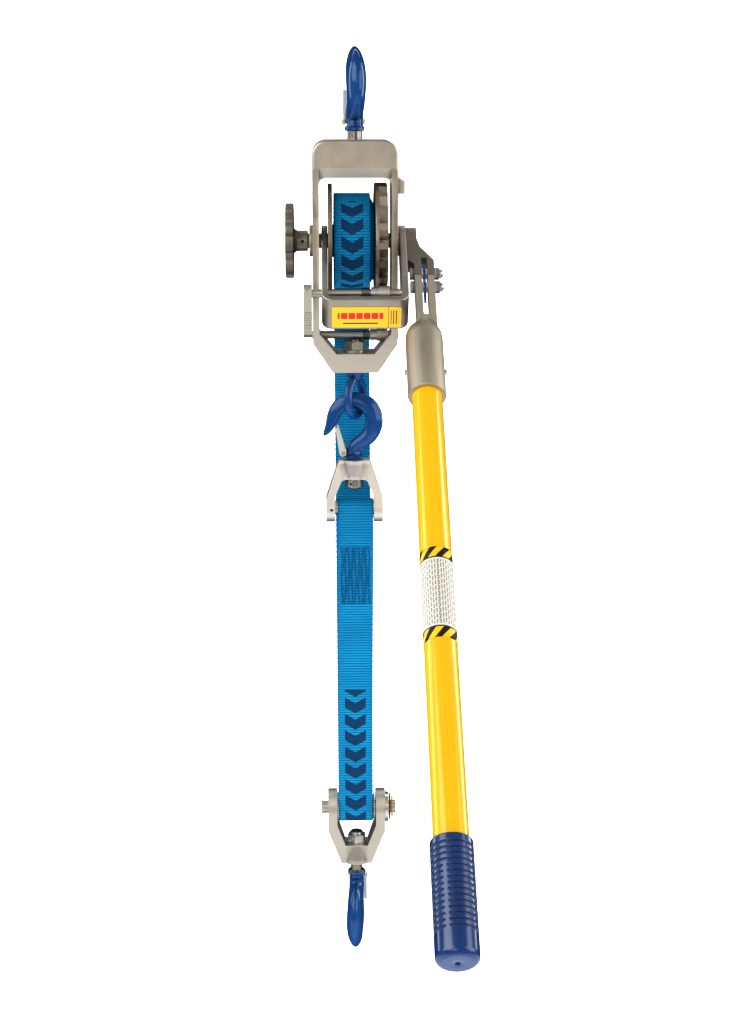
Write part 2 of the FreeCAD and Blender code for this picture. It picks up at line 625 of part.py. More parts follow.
def pawl_nose(start):
    """The nose's outline in mesh, as (y, z), from the wheel angle where its front face stands."""
    root, tip = ROOT_RADIUS, TIP_RADIUS
    corners = ((root + 1.5, 0.0), (root + 3.5, 2.2), (tip + 4.0, 9.0), (tip + 2.0, 0.2))
    return [polar(radius, start + step) for radius, step in corners]


def hull(points):
    """Convex outline round (y, z) points, in order."""
    points = sorted(set(points))

    def half(sequence):
        chain = []
        for p in sequence:
            while len(chain) > 1 and turn_of(chain[-2], chain[-1], p) <= 0:
                chain.pop()
            chain.append(p)
        return chain[:-1]

    return half(points) + half(points[::-1])


def turn_of(a, b, c):
    return (b[0] - a[0]) * (c[1] - a[1]) - (b[1] - a[1]) * (c[0] - a[0])


def pawl_body(start, pivot, hub_radius):
    """A pawl in mesh: its hub and the web that runs to the nose, about the (y, z) pivot."""
    nose = pawl_nose(start)
    reach = hub_radius - 1.5
    rim = []
    for n in range(24):
        a = 2 * math.pi * n / 24
        rim.append((pivot[0] + reach * math.cos(a), pivot[1] + reach * math.sin(a)))
    web = prism_x(hull(nose[2:] + rim), PAWL_X)
    tip = prism_x(nose, PAWL_X)
    return tip.fuse(web).fuse(rod_x(hub_radius, (PAWL_X[0] - 1.5, PAWL_X[1] + 1.5), *pivot))


def build_drive_pawl():
    """Drive pawl on its shaft, turned from outside the frame by a thumb lever."""
    face = HANDLE_TILT - DRIVE_FACE_ANGLE
    pivot = polar(DRIVE_PAWL_DROP, HANDLE_TILT)
    centre = vec(0, *pivot)
    pawl = pawl_body(face + DRIVE_LEAD, pivot, DRIVE_HUB_RADIUS)
    pawl = pawl.cut(rod_x(PAWL_SHAFT_RADIUS + SEAT_GAP, (0, 60), *pivot))
    keep("drive_pawl", rotated(pawl.removeSplitter(), -DRIVE_REST_TURN, X_DIR, centre))
    collar = ring_x(7.4, PAWL_SHAFT_RADIUS + SEAT_GAP, (18.0, PAWL_X[0] - 1.6), *pivot)
    keep("drive_pawl_collar", collar)
    pin_x = sum(THUMB_X) / 2
    pin_hole = Part.makeCylinder(1.8, 40, vec(pin_x, 0, 0) - Y_DIR * 20, Y_DIR)
    pin_hole = moved(rotated(pin_hole, THUMB_LEAN - HANDLE_TILT, X_DIR), 0, *pivot)
    shaft = rod_x(PAWL_SHAFT_RADIUS, (THUMB_X[0] + 0.6, YOKE_RIGHT[1] + 0.3), *pivot)
    keep("drive_pawl_shaft", shaft.cut(pin_hole))
    keep("drive_pawl_spring", coil(6.4, 0.7, (5.0, 17.6), *pivot, 6))
    build_thumb_lever(pivot, pin_x, pin_hole)


def build_thumb_lever(pivot, pin_x, pin_hole):
    """The thumb lever, with its cross pin; its front edge is ribbed for the thumb."""
    lever = prism_x(mirrored([(10.5, -2), (9.5, -20), (7.5, -52), (4, -55.5)]), THUMB_X)
    lever = lever.fuse(rod_x(10.8, THUMB_X))
    for n in range(THUMB_RIBS):
        z = -30.0 - n * 3.2
        surface = -9.5 - 0.0625 * (z + 20.0)
        lever = lever.cut(block((THUMB_X[0] - 1, THUMB_X[1] + 1), (-12.0, surface + 0.8), (z, z + 1.2)))
    lever = lever.cut(rod_x(PAWL_SHAFT_RADIUS + SEAT_GAP, (THUMB_X[0] + 0.5, 0)))
    lever = moved(rotated(lever.removeSplitter(), THUMB_LEAN - HANDLE_TILT, X_DIR), 0, *pivot)
    keep("thumb_lever", lever.cut(pin_hole))
    pin = Part.makeCylinder(1.8 - SEAT_GAP, 19.4, vec(pin_x, -9.7, 0), Y_DIR)
    keep("thumb_lever_pin", moved(rotated(pin, THUMB_LEAN - HANDLE_TILT, X_DIR), 0, *pivot))


def build_hold_pawl():
    """Holding pawl on a shaft fixed across the frame, below the drum."""
    face = HANDLE_TILT - DRIVE_FACE_ANGLE - HOLD_FACE_STEPS * PITCH_ANGLE
    pivot = (0.0, -HOLD_PAWL_DROP)
    centre = vec(0, *pivot)
    pawl = pawl_body(face + HOLD_LEAD, pivot, HOLD_HUB_RADIUS)
    pawl = pawl.cut(rod_x(PAWL_SHAFT_RADIUS + RUN_GAP, (0, 60), *pivot))
    keep("hold_pawl", rotated(pawl.removeSplitter(), -HOLD_REST_TURN, X_DIR, centre))
    keep("hold_pawl_shaft", rod_x(PAWL_SHAFT_RADIUS, (-53.6, 53.9), *pivot))
    keep("hold_pawl_collar", ring_x(6.8, PAWL_SHAFT_RADIUS + SEAT_GAP, (18.5, PAWL_X[0] - 1.7), *pivot))
    keep("hold_pawl_spring", coil(6.1, 0.6, (8.2, 18.2), *pivot, 5))


# ---------------------------------------------------------------- strap end
def build_anchor_eye():
    """Eye bolt through the frame's foot, with its washer and nut inside the loop."""
    ring = Part.makeTorus(EYE_RADIUS, EYE_BAR, vec(0, 0, 0), Y_DIR)
    ring = moved(rotated(ring, EYE_TURN), 0, 0, EYE_CENTRE)
    top = EYE_CENTRE + EYE_RADIUS
    seat = FRAME_BOTTOM - 0.3
    profile = [(0, top - 1), (8.0, top - 1), (12.0, seat - 3.0), (12.0, seat - 0.8), (11.2, seat)]
    profile += [(EYE_SHANK_RADIUS, seat), (EYE_SHANK_RADIUS, -121.4), (0, -121.4)]
    keep("anchor_eye", ring.fuse(turned_z(profile)).removeSplitter())
    bore = rod_z(EYE_SHANK_RADIUS + SEAT_GAP, (-140, -117))
    low = FOOT_TOP + 0.1
    keep("eye_washer", rod_z(16.5, (low, low + 2.4)).cut(bore))
    top_of_nut = low + 13.6
    nut = hexagon(24.0, low + 2.5, top_of_nut)
    cone = turned_z([(0, low), (16, low), (16, top_of_nut - 3.4), (11.8, top_of_nut), (0, top_of_nut)])
    keep("eye_nut", rotated(nut.common(cone).cut(bore), 12))


def build_strap_hook():
    collar_low = -49.3
    shank_low = -311.0 - STRAP_BOWL

    def place(shape):
        return moved(rotated(shape, 90), STRAP_END_X, 0, STRAP_BOWL)

    place_hook_set("strap", STRAP_SCALE, 7.0, shank_low, collar_low, place, saddle=False)
    nut = rod_z(11.3, (-308.5, -297.4), STRAP_END_X).cut(rod_z(7.0 + SEAT_GAP, (-330, -290), STRAP_END_X))
    pin_hole = rod_y(1.7, (-15, 15), STRAP_END_X - 4.6, -302.9)
    nut = rounded(nut, 1.4, lambda e: e.Curve.TypeId == "Part::GeomCircle" and e.Curve.Radius > 11)
    keep("strap_hook_nut", nut.cut(pin_hole))


def ears_side(axis, radius, edge, half_depth):
    """The side outline of a yoke: round ears about the pin axis, narrowing to the far edge."""
    outline = [(-radius, axis), (radius, axis), (half_depth, edge), (-half_depth, edge)]
    return prism_x(outline, (-80, 80)).fuse(rod_x(radius, (-80, 80), 0, axis))


def mirrored(right):
    """A closed outline from its right half, listed downwards."""
    return right + [(-x, z) for x, z in reversed(right)]


def build_strap_yoke():
    outer = [(18.4, -272.9), (21.5, -279.0), (35.7, -323.0), (35.7, -354.0)]
    inner = [(11.6, -297.1), (16.0, -298.7), (24.4, -318.0), (24.4, -355.0)]
    yoke = prism_y(mirrored(outer), (-20, 20)).cut(prism_y(mirrored(inner), (-21, 21)))
    yoke = yoke.common(ears_side(STRAP_PIN_AXIS, 18.0, -270.0, 9.5))
    boss = turned_z([(0, -272.9), (17.2, -272.9), (14.6, -297.1), (0, -297.1)])
    yoke = moved(yoke.fuse(boss), STRAP_END_X)
    yoke = yoke.cut(rod_z(7.0 + RUN_GAP, (-310, -270), STRAP_END_X))
    yoke = yoke.cut(rod_x(STRAP_PIN_RADIUS + SEAT_GAP, (-80, 80), 0, STRAP_PIN_AXIS))
    set_hole = rod_y(1.8, (-20, 20), STRAP_END_X - 29.0, STRAP_PIN_AXIS)
    keep("strap_yoke", yoke.cut(set_hole).removeSplitter())
    pin = rod_x(STRAP_PIN_RADIUS, (STRAP_END_X - 35.2, STRAP_END_X + 35.2), 0, STRAP_PIN_AXIS)
    keep("strap_pin", pin.cut(set_hole))


# ---------------------------------------------------------------- strap
HALF_STRAP = STRAP_WIDTH / 2
RUN_Y = (PULLEY_RADIUS + 0.05, PULLEY_RADIUS + 0.05 + STRAP_THICKNESS)


def build_sewn_eye():
    """The strap's end, looped round the pin and sewn back on itself."""
    x = (-HALF_STRAP, HALF_STRAP)
    axis, inner = STRAP_PIN_AXIS, STRAP_PIN_RADIUS + 0.2
    outer = inner + STRAP_THICKNESS
    near, far = RUN_Y
    loop = ring_x(outer, inner, x, 0, axis)
    tail = near - STRAP_THICKNESS
    front = [(-outer, axis), (-inner, axis), (-near, LAP_START), (-near, LAP_END)]
    front += [(-far, LAP_END), (-far, LAP_START)]
    back = [(inner, axis), (outer, axis), (-tail, LAP_START), (-tail, LAP_END)]
    back += [(-near, LAP_END), (-near, LAP_START)]
    eye = loop.fuse([prism_x(front, x), prism_x(back, x)])
    pin_room = rod_x(inner, (-80, 80), 0, axis)
    keep("strap_sewn_eye", eye.cut(pin_room).removeSplitter())


def build_strap_runs():
    x = (-HALF_STRAP, HALF_STRAP)
    near, far = RUN_Y
    keep("strap_front_run", block(x, (-far, -near), (PULLEY_AXIS, LAP_END - 0.05)))
    bend = ring_x(far, near, x, 0, PULLEY_AXIS)
    keep("strap_bend", bend.common(block((-40, 40), (-40, 40), (PULLEY_AXIS - 60, PULLEY_AXIS - 0.05))))
    roll_middle = (ROLL_X[0] + ROLL_X[1]) / 2
    leave = ROLL_RADIUS - STRAP_THICKNESS
    top = strap_rectangle(roll_middle, (leave + 0.3, leave + 0.3 + STRAP_THICKNESS), 0.0)
    bottom = strap_rectangle(0.0, RUN_Y, PULLEY_AXIS)
    run = Part.makeLoft([top, bottom], True, True)
    keep("strap_back_run", run.cut(rod_x(ROLL_RADIUS + 0.05, (-60, 60))))


def strap_rectangle(middle, y, z):
    corners = [(middle - HALF_STRAP, y[0]), (middle + HALF_STRAP, y[0])]
    corners += [(middle + HALF_STRAP, y[1]), (middle - HALF_STRAP, y[1])]
    points = [vec(px, py, z) for px, py in corners]
    return Part.makePolygon(points + points[:1])


# ---------------------------------------------------------------- load block
def build_load_block():
    axis = PULLEY_AXIS
    outer = [(BLOCK_HALF_WIDTH, axis + 26), (BLOCK_HALF_WIDTH, axis - 27), (19.5, -809.0)]
    inner = [(BLOCK_INNER, axis + 27), (BLOCK_INNER, axis - 19), (14.5, -783.0)]
    yoke = prism_y(mirrored(outer), (-24, 24)).cut(prism_y(mirrored(inner), (-25, 25)))
    yoke = yoke.common(ears_side(axis, 24.0, -812.0, 11.0))
    boss = turned_z([(0, -783.0), (15.6, -783.0), (18.0, -809.0), (0, -809.0)])
    yoke = moved(yoke.fuse(boss), BLOCK_X)
    yoke = yoke.cut(rod_z(7.5 + RUN_GAP, (-815, -780), BLOCK_X))
    yoke = yoke.cut(rod_x(BLOCK_PIN_RADIUS + SEAT_GAP, (-80, 80), 0, axis))
    keep("block_yoke", yoke.removeSplitter())
    face = BLOCK_X + BLOCK_HALF_WIDTH
    keep("pulley_pin", rod_x(BLOCK_PIN_RADIUS, (BLOCK_X - 45.5, face + 14.0), 0, axis))
    keep("pin_washer", ring_x(19.2, BLOCK_PIN_RADIUS + SEAT_GAP, (face + 0.1, face + 4.4), 0, axis))
    keep("pin_brass_washer", ring_x(13.0, BLOCK_PIN_RADIUS + SEAT_GAP, (face + 8.6, face + 10.4), 0, axis))
    keep("pin_clip", clip_ring(face + 5.6, axis))


def clip_ring(x, axis):
    """A toothed retaining ring on the pulley pin."""
    ring = rod_x(12.0, (x, x + 1.6), 0, axis)
    for n in range(8):
        y, z = polar(14.5, n * 45.0 + 12)
        ring = ring.fuse(rod_x(3.2, (x, x + 1.6), y, axis + z))
    return ring.removeSplitter().cut(rod_x(BLOCK_PIN_RADIUS + SEAT_GAP, (-80, 80), 0, axis))


def build_pulley():
    axis = PULLEY_AXIS
    half = HALF_STRAP + 0.6
    rim = half + 1.4
    r = PULLEY_RADIUS
    profile = [(-rim, 0), (-rim, r + 3.2), (-half, r + 3.2), (-half, r), (half, r), (half, r + 3.2)]
    profile += [(rim, r + 3.2), (rim, 0)]
    keep("pulley", turned_x(profile, 0, axis).cut(rod_x(BLOCK_PIN_RADIUS + RUN_GAP, (-80, 80), 0, axis)))


def build_load_hook():
    """The lower hook hangs from the block on a nut, and turns there."""
    nut_top = -768.5
    collar_low = LOAD_BOWL + 821.5
    shank_low = LOAD_BOWL - nut_top - 1.0

    def place(shape):
        upside_down = rotated(shape, 180, Y_DIR)
        return moved(rotated(upside_down, LOAD_HOOK_TURN), BLOCK_X, 0, LOAD_BOWL)

    place_hook_set("load", LOAD_SCALE, 7.5, shank_low, collar_low, place)
    nut = hexagon(21.0, -782.8, -772.0).fuse(turned_z([(0, -773), (9.6, -773), (8.2, nut_top), (0, nut_top)]))
    nut = nut.cut(rod_z(7.5 + SEAT_GAP, (-790, -760)))
    keep("load_hook_nut", moved(rotated(nut.removeSplitter(), 20), BLOCK_X))


# ---------------------------------------------------------------- assembly
def save_all():
    os.makedirs("parts", exist_ok=True)
    for name, solids in pieces.items():
        placed = [moved(solid, 0, 0, -BOWL_ABOVE_DRUM) for solid in solids]
        separate = [solid for shape in placed for solid in shape.Solids]
        if len(separate) != len(solids):
            raise ValueError(f"{name}: {len(separate)} solids where {len(solids)} were meant")
        shape = separate[0] if len(separate) == 1 else Part.makeCompound(separate)
        shape.exportStep(f"parts/{name}.step")


BUILDERS = (
    build_frame, build_swivel_pins, build_upper_hook,
    build_drum, build_handwheel,
    build_yoke, build_lever_casting, build_link, build_socket, build_grip_and_label,
    build_drive_pawl, build_hold_pawl,
    build_anchor_eye, build_strap_hook, build_strap_yoke,
    build_sewn_eye, build_strap_runs,
    build_load_block, build_pulley, build_load_hook,
)

for build in BUILDERS:
    build()
save_all()
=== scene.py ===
import json
import math

import bmesh
import bpy
from mathutils import Matrix, Vector

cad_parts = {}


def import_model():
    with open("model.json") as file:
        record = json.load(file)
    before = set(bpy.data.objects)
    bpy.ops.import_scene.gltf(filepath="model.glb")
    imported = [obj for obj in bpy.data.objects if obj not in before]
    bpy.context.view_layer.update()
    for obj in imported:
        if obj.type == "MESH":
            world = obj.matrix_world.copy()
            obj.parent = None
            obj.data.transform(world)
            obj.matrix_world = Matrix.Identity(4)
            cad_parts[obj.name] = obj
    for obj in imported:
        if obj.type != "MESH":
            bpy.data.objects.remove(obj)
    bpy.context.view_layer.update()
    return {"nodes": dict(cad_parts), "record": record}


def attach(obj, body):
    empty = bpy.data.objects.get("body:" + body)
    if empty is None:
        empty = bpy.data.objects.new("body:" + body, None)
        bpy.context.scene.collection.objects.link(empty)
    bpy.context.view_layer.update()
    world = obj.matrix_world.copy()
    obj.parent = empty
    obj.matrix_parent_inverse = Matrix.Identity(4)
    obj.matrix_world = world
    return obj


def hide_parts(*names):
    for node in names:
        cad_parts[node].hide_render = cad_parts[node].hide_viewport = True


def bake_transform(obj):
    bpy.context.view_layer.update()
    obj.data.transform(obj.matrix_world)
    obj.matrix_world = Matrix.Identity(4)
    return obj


# Looks for the web-strap ratchet winch. Lengths are written in millimetres in the part's frame and
# turned into metres when a mesh is made. Handle pieces are written in the handle's own frame
# (x across, y back, z along the handle from the drum axis) and swung to the rest pose.

MM = 0.001
DRUM_Z = -190.7
HANDLE_TILT = math.radians(52.25)
HANDLE_X = 78.5
STRAP_WIDTH = 44.45
STRAP_THICKNESS = 2.5
STRAP_X = -0.5
RIB_PITCH = 3.42
RIB_HEIGHT = 0.17
STEPS_PER_RIB = 6
STRAP_STEP = RIB_PITCH / STEPS_PER_RIB
LAP_END_Z = DRUM_Z - 462.0
LAP_START_Z = DRUM_Z - 385.0
PIN_Z = DRUM_Z - 335.0
PIN_LOOP_RADIUS = 10.5
PULLEY_Z = DRUM_Z - 734.8
PULLEY_WRAP_RADIUS = 17.15
FRONT_Y = -PULLEY_WRAP_RADIUS
ROLL_X = -4.0
ROLL_RADIUS = 56.75
STRIP_Z = (DRUM_Z + 76.0, DRUM_Z + 88.9)
STRIP_HALF_WIDTH = 43.8
FOOT_Z = (DRUM_Z - 126.0, DRUM_Z - 60.0)


# ---------------------------------------------------------------- node helpers
class Nodes:
    """Short-hand for building a material's node tree."""

    def __init__(self, material):
        self.tree = material.node_tree
        self.coordinates = self.add("ShaderNodeTexCoord")

    def add(self, kind, inputs=None, **settings):
        node = self.tree.nodes.new(kind)
        for key, value in settings.items():
            setattr(node, key, value)
        for key, value in (inputs or {}).items():
            self.feed(node, key, value)
        return node

    def feed(self, node, key, value):
        if isinstance(value, bpy.types.NodeSocket):
            self.tree.links.new(value, node.inputs[key])
        else:
            node.inputs[key].default_value = value

    def math(self, operation, a, b=0.0):
        return self.add("ShaderNodeMath", {0: a, 1: b}, operation=operation).outputs[0]

    def mix(self, factor, a, b):
        node = self.add("ShaderNodeMix", {0: factor}, data_type="RGBA")
        self.feed(node, 6, a)
        self.feed(node, 7, b)
        return node.outputs[2]

    def noise(self, scale, detail=3.0, stretch=None, roughness=0.5):
        where = self.coordinates.outputs["Object"]
        if stretch:
            where = self.add("ShaderNodeMapping", {"Vector": where, "Scale": stretch}).outputs[0]
        settings = {"Vector": where, "Scale": scale, "Detail": detail, "Roughness": roughness}
        return self.add("ShaderNodeTexNoise", settings).outputs["Fac"]

    def between(self, value, low, high):
        """1 where low < value < high, else 0."""
        above = self.math("GREATER_THAN", value, low)
        below = self.math("LESS_THAN", value, high)
        return self.math("MULTIPLY", above, below)

    def ramp(self, value, low, high):
        """value rescaled so that low..high becomes 0..1, clamped."""
        settings = {"Value": value, "From Min": low, "From Max": high}
        return self.add("ShaderNodeMapRange", settings).outputs[0]

    def bump(self, height, strength, distance, normal=None):
        settings = {"Height": height, "Strength": strength, "Distance": distance}
        if normal:
            settings["Normal"] = normal
        return self.add("ShaderNodeBump", settings).outputs[0]

    def soft_edges(self, radius):
        return self.add("ShaderNodeBevel", {"Radius": radius}, samples=4).outputs[0]

    def crevice(self, distance):
        """1 in the open, towards 0 in corners and under overhangs."""
        return self.add("ShaderNodeAmbientOcclusion", {"Distance": distance}, samples=4).outputs["AO"]

    def uv(self):
        split = self.add("ShaderNodeSeparateXYZ", {0: self.coordinates.outputs["UV"]})
        return split.outputs[0], split.outputs[1]


def new_material(name):
    material = bpy.data.materials.new(name)
    material.use_nodes = True
    nodes = Nodes(material)
    shader = material.node_tree.nodes["Principled BSDF"]
    return material, nodes, shader


def rgb(red, green, blue):
    """Linear colour from 0..255 display values."""
    def linear(c):
        c = c / 255
        return c / 12.92 if c <= 0.04045 else ((c + 0.055) / 1.055) ** 2.4
    return (linear(red), linear(green), linear(blue), 1.0)


# ---------------------------------------------------------------- metals and paints
# How the grain is stretched along x, y and z: milling marks run along x, turning marks round it.
MILLED = (0.25, 6.0, 6.0)
TURNED = (8.0, 1.0, 1.0)
HOOK_BLUE = rgb(0, 66, 120)


def metal(name, colour, roughness, grain, grain_depth, brushed=None, shade_depth=0.55):
    """Bare metal: grained or brushed surface, uneven polish, painted shade in corners, bright worn edges."""
    material, n, shader = new_material(name)
    blotches = n.noise(38.0, 4.0)
    fine = n.noise(grain, 6.0, stretch=brushed, roughness=0.62)
    # Painted shade: ambient occlusion darkens the colour in corners and under overhangs.
    open_air = n.crevice(0.007)
    unshaded = n.ramp(open_air, 0.45, 0.95)
    worn = n.ramp(n.add("ShaderNodeNewGeometry").outputs["Pointiness"], 0.515, 0.56)
    dull = tuple(c * 0.80 for c in colour[:3]) + (1.0,)
    base = n.mix(n.ramp(blotches, 0.3, 0.7), dull, colour)
    painted_shade = tuple(c * (1 - shade_depth) for c in colour[:3]) + (1.0,)
    base = n.mix(unshaded, painted_shade, base)
    bright = tuple(min(1.0, c * 1.25) for c in colour[:3]) + (1.0,)
    base = n.mix(worn, base, bright)
    shade = n.math("ADD", n.math("MULTIPLY", blotches, 0.18), roughness - 0.09)
    shade = n.math("ADD", shade, n.math("MULTIPLY", fine, 0.10))
    n.feed(shader, "Base Color", base)
    n.feed(shader, "Metallic", 1.0)
    n.feed(shader, "Roughness", shade)
    n.feed(shader, "Normal", n.bump(fine, grain_depth, 0.0004, n.soft_edges(0.0006)))
    return material


def frame_metal():
    """The frame's brushed aluminium, painted paler and less metallic on the sloped strip under the head and
    on the foot to stand in for light from below, with painted shade in their corners.
    """
    material = metal("frame_metal", rgb(202, 192, 175), 0.40, 160.0, 0.45, brushed=MILLED)
    n = Nodes(material)
    shader = material.node_tree.nodes["Principled BSDF"]
    place = n.add("ShaderNodeSeparateXYZ", {0: n.coordinates.outputs["Object"]})
    across, height = place.outputs[0], place.outputs[2]
    strip = n.math("MULTIPLY", n.between(height, STRIP_Z[0] * MM, STRIP_Z[1] * MM),
                   n.between(across, -STRIP_HALF_WIDTH * MM, STRIP_HALF_WIDTH * MM))
    foot = n.ramp(height, FOOT_Z[1] * MM, FOOT_Z[0] * MM)
    # Painted light: the strip and the foot are made pale and mostly non-metallic to stand in for light from
    # the floor; their corners get painted shade from ambient occlusion.
    lit_from_below = n.math("MAXIMUM", strip, foot)
    polished = shader.inputs["Base Color"].links[0].from_socket
    pale = n.mix(n.ramp(n.crevice(0.007), 0.45, 0.95), rgb(112, 108, 101), rgb(180, 174, 163))
    n.feed(shader, "Base Color", n.mix(lit_from_below, polished, pale))
    n.feed(shader, "Metallic", n.math("SUBTRACT", 1.0, n.math("MULTIPLY", lit_from_below, 0.75)))
    n.feed(shader, "Specular IOR Level", 0.3)
    return material


def paint(name, colour, roughness=0.22, wear=0.35, bare=None):
    """Thick glossy paint over a forging: soft ripples, painted shade in hollows, scuffs on high edges.
    bare: a (low, high) height, in millimetres, over which the steel is left unpainted."""
    material, n, shader = new_material(name)
    ripple = n.noise(120.0, 3.0)
    lumps = n.noise(45.0, 2.0)
    worn = n.ramp(n.add("ShaderNodeNewGeometry").outputs["Pointiness"], 0.53, 0.60)
    scuff = n.math("MULTIPLY", worn, n.ramp(n.noise(260.0, 5.0), 0.52, 0.66))
    scuff = n.math("MULTIPLY", scuff, wear)
    # Painted shade: the colour darkens where ambient occlusion finds hollows.
    hollow_shade = tuple(c * 0.55 for c in colour[:3]) + (1.0,)
    base = n.mix(n.ramp(n.crevice(0.006), 0.4, 0.95), hollow_shade, colour)
    base = n.mix(scuff, base, rgb(150, 155, 165))
    coat = 0.65
    if bare:
        height = n.add("ShaderNodeSeparateXYZ", {0: n.coordinates.outputs["Object"]}).outputs[2]
        steel = n.between(height, bare[0] * MM, bare[1] * MM)
        base = n.mix(steel, base, rgb(150, 144, 136))
        n.feed(shader, "Metallic", steel)
        coat = n.math("MULTIPLY", n.math("SUBTRACT", 1.0, steel), coat)
    n.feed(shader, "Base Color", base)
    n.feed(shader, "Roughness", n.math("ADD", n.math("MULTIPLY", ripple, 0.12), roughness - 0.05))
    n.feed(shader, "Coat Weight", coat)
    n.feed(shader, "Coat Roughness", 0.05)
    n.feed(shader, "Specular IOR Level", 0.22)
    first = n.bump(lumps, 0.35, 0.0012, n.soft_edges(0.0006))
    n.feed(shader, "Normal", n.bump(ripple, 0.25, 0.0004, first))
    return material


def tube_plastic():
    """Yellow pultruded tube: fine fibres along it under a clear gloss."""
    material, n, shader = new_material("yellow_tube")
    swing = {"Vector": n.coordinates.outputs["Object"], "Angle": HANDLE_TILT}
    turned = n.add("ShaderNodeVectorRotate", swing, rotation_type="X_AXIS")
    stretched = n.add("ShaderNodeMapping", {"Vector": turned.outputs[0], "Scale": (900.0, 900.0, 9.0)})
    fibres = {"Vector": stretched.outputs[0], "Scale": 1.0, "Detail": 3.0}
    fibre = n.add("ShaderNodeTexNoise", fibres).outputs["Fac"]
    base = n.mix(n.ramp(fibre, 0.3, 0.7), rgb(234, 186, 0), rgb(244, 198, 0))
    smudge = n.ramp(n.noise(14.0, 4.0), 0.62, 0.80)
    base = n.mix(n.math("MULTIPLY", smudge, 0.25), base, rgb(205, 160, 10))
    n.feed(shader, "Base Color", base)
    n.feed(shader, "Roughness", n.math("ADD", n.math("MULTIPLY", smudge, 0.15), 0.30))
    n.feed(shader, "Specular IOR Level", 0.25)
    n.feed(shader, "Coat Weight", 0.9)
    n.feed(shader, "Coat Roughness", 0.14)
    n.feed(shader, "Normal", n.bump(fibre, 0.05, 0.0003))
    return material


def grip_rubber():
    """Glossy blue dipped grip: fine pores, faint blotches, painted shade in its grooves."""
    material, n, shader = new_material("blue_grip")
    fine = n.noise(1500.0, 3.0)
    blotch = n.noise(30.0, 3.0)
    base = n.mix(n.ramp(blotch, 0.3, 0.7), rgb(0, 52, 108), rgb(0, 62, 122))
    # Painted shade: the grooves are darkened by ambient occlusion.
    base = n.mix(n.ramp(n.crevice(0.003), 0.5, 1.0), rgb(4, 16, 58), base)
    n.feed(shader, "Base Color", base)
    n.feed(shader, "Roughness", n.math("ADD", n.math("MULTIPLY", blotch, 0.10), 0.20))
    n.feed(shader, "Specular IOR Level", 0.4)
    n.feed(shader, "Coat Weight", 1.0)
    n.feed(shader, "Coat Roughness", 0.16)
    n.feed(shader, "Normal", n.bump(fine, 0.10, 0.0002))
    return material


# ---------------------------------------------------------------- webbing
def webbing(name, marks):
    """Woven strap. UV: u across (0..1), v along, in millimetres. marks: (start, end) of printed bands."""
    material, n, shader = new_material(name)
    u, v = n.uv()
    across = n.math("MULTIPLY", u, STRAP_WIDTH)
    rib = n.math("SINE", n.math("MULTIPLY", v, 2 * math.pi / RIB_PITCH))
    slant = n.math("ADD", n.math("MULTIPLY", v, 2 * math.pi / RIB_PITCH), n.math("MULTIPLY", across, 5.2))
    twill = n.math("SINE", slant)
    yarn = n.math("SINE", n.math("MULTIPLY", across, 2 * math.pi / 0.9))
    weave = n.math("ADD", n.math("MULTIPLY", twill, 0.35), n.math("MULTIPLY", yarn, 0.45))
    edge = n.math("ABSOLUTE", n.math("SUBTRACT", u, 0.5))
    fade = n.noise(22.0, 4.0)
    base = n.mix(n.ramp(fade, 0.3, 0.72), rgb(0, 124, 168), rgb(0, 146, 190))
    # Painted shade: the valleys between the ribs are darkened.
    base = n.mix(n.ramp(rib, -1.0, 0.1), rgb(0, 76, 120), base)
    # Painted highlight: the raised yarns of the weave are made paler.
    base = n.mix(n.math("MULTIPLY", n.ramp(weave, -0.8, 0.8), 0.25), base, rgb(0, 158, 204))
    base = n.mix(n.math("MULTIPLY", n.math("GREATER_THAN", edge, 0.465), 0.35), base, rgb(0, 74, 166))
    printed = 0.0
    for start, end in marks:
        printed = n.math("MAXIMUM", printed, n.between(v, start, end))
    chevron = n.math("ADD", v, n.math("MULTIPLY", n.math("ABSOLUTE", n.math("SUBTRACT", u, 0.5)), 26.0))
    bars = n.math("LESS_THAN", n.math("FRACT", n.math("DIVIDE", chevron, 22.0)), 0.62)
    printed = n.math("MULTIPLY", printed, n.math("MULTIPLY", bars, n.between(u, 0.2, 0.8)))
    patchy = n.math("ADD", n.math("MULTIPLY", n.ramp(rib, -1.0, 1.0), 0.22), 0.70)
    base = n.mix(n.math("MULTIPLY", printed, patchy), base, rgb(12, 34, 74))
    n.feed(shader, "Base Color", base)
    n.feed(shader, "Roughness", 0.72)
    n.feed(shader, "Specular IOR Level", 0.2)
    fuzz = n.noise(2600.0, 2.0)
    height = n.math("ADD", weave, n.math("MULTIPLY", fuzz, 0.5))
    n.feed(shader, "Normal", n.bump(height, 0.55, 0.0003))
    return material


def thread():
    """Twisted sewing thread, with a painted highlight on the strands' crowns."""
    material, n, shader = new_material("thread")
    waves = {"Vector": n.coordinates.outputs["Object"], "Scale": 900.0}
    strands = n.add("ShaderNodeTexWave", waves).outputs["Fac"]
    # Painted highlight: the strands' crowns are paler.
    n.feed(shader, "Base Color", n.mix(strands, rgb(0, 100, 164), rgb(10, 140, 200)))
    n.feed(shader, "Roughness", 0.6)
    n.feed(shader, "Normal", n.bump(strands, 0.4, 0.0002))
    return material


# ---------------------------------------------------------------- printed plates
SLEEVE_LOW = 499.5
SLEEVE_HIGH = 617.8
SLEEVE_RADIUS = 17.75


